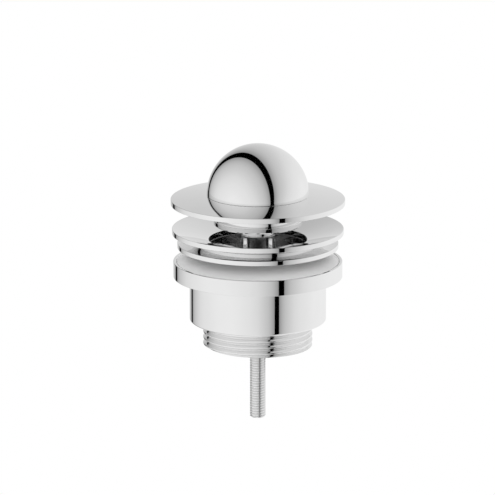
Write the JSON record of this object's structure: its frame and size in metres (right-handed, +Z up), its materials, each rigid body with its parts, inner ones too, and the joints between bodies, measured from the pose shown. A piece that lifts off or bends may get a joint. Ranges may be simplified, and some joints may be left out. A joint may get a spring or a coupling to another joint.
{
  "type": "free-flow basin waste",
  "caption": "Free-flow basin waste: dished flange and base ring, lift-off disc cover with a ball knob, long clamp screw, and a threaded waste body with a conical gasket.",
  "frame": {"origin": "on the waste's axis, at the plane where the base ring's underside rests on the basin", "axes": "+Z up along the axis, towards the ball knob; -Y towards the viewer of the picture"},
  "size_m": [0.0665, 0.0664, 0.1073],
  "materials": {
    "chrome_plate": "polished chrome plate",
    "grey_rubber": "smooth grey moulded rubber",
    "black_rubber": "smooth black seal rubber",
    "brass": "turned brass, not plated",
    "steel": "rolled stainless thread and turned head"
  },
  "bodies": {
    "flange": {"dish_flange": "chrome_plate", "ring_seal": "black_rubber", "base_ring": "chrome_plate", "seat_seal": "black_rubber", "cross_insert": "chrome_plate", "screw_washer": "steel"},
    "cover": {"ball_knob": "chrome_plate", "cover_disc": "chrome_plate", "cover_boss": "chrome_plate", "boss_ring": "chrome_plate", "cover_stem": "chrome_plate", "stem_o_rings": "black_rubber", "cover_stud": "steel"},
    "screw": {"clamp_screw": "steel"},
    "waste": {"waste_body": "chrome_plate", "threaded_bush": "brass", "body_o_ring": "black_rubber", "rim_gasket": "grey_rubber"}
  },
  "joints": [
    {"name": "cover_lift", "type": "slide", "parent": "flange", "child": "cover", "axis": [0, 0, 1], "range_m": [0, 0.03]},
    {"name": "screw_turn", "type": "hinge", "parent": "flange", "child": "screw", "pos_m": [0, 0, -0.0073], "axis": [0, 0, 1], "range_deg": [-470, 4690]},
    {"name": "body_slide", "type": "slide", "parent": "flange", "child": "waste", "axis": [0, 0, -1], "range_m": [-0.0013, 0.013]}
  ],
  "couplings": [
    {"joint": "screw_turn", "follows": "body_slide", "rad_per_m": 6283.2}
  ]
}
